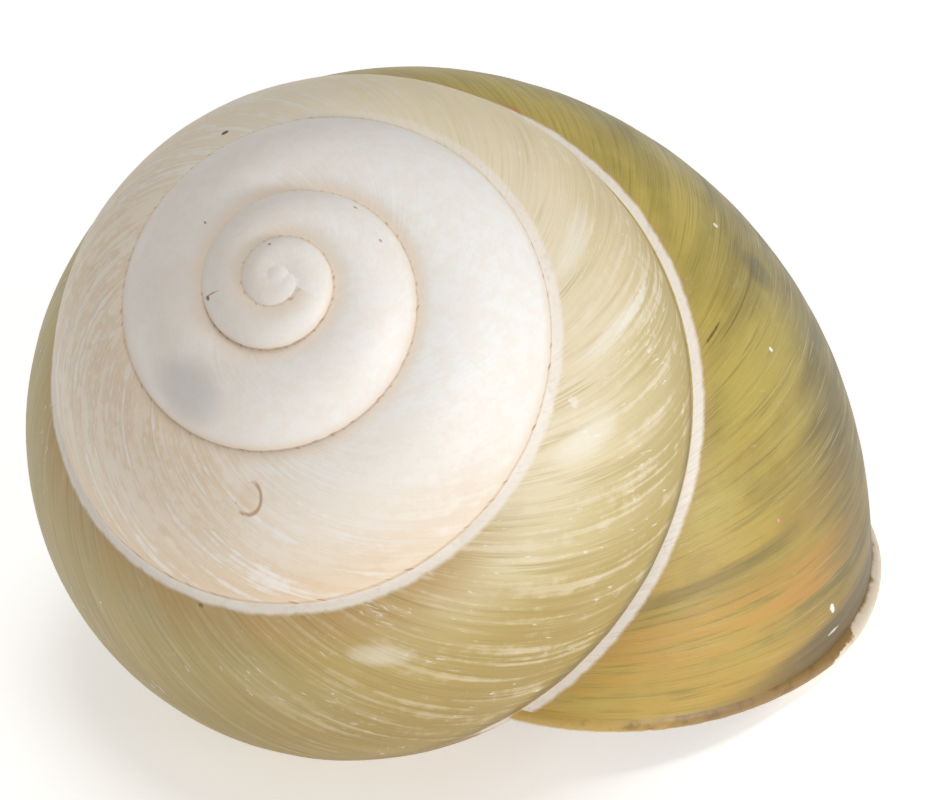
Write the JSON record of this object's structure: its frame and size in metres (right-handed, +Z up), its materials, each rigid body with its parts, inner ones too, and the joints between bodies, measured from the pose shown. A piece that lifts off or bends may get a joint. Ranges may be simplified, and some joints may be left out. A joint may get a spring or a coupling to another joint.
{
  "type": "land snail shell",
  "caption": "Empty globose land snail shell with five right-handed whorls, a low spire, a deep suture and a wide mouth with a narrow turned-out lip, lying mouth down.",
  "frame": {"origin": "centre of the footprint box, on the plane that the shell rests on", "axes": "+Z up; -Y is the side that the spire and the start of the lip face; +X is the side of the growing end, where the mouth's edge stands out"},
  "size_m": [0.045, 0.0432, 0.0365],
  "materials": {
    "shell": "limy shell, satin where its thin skin is left: white worn tip, cream and tan upper whorls, olive-brown last whorl with darker growth lines, pale lip"
  },
  "bodies": {
    "root": {"shell": "shell"}
  },
  "joints": []
}
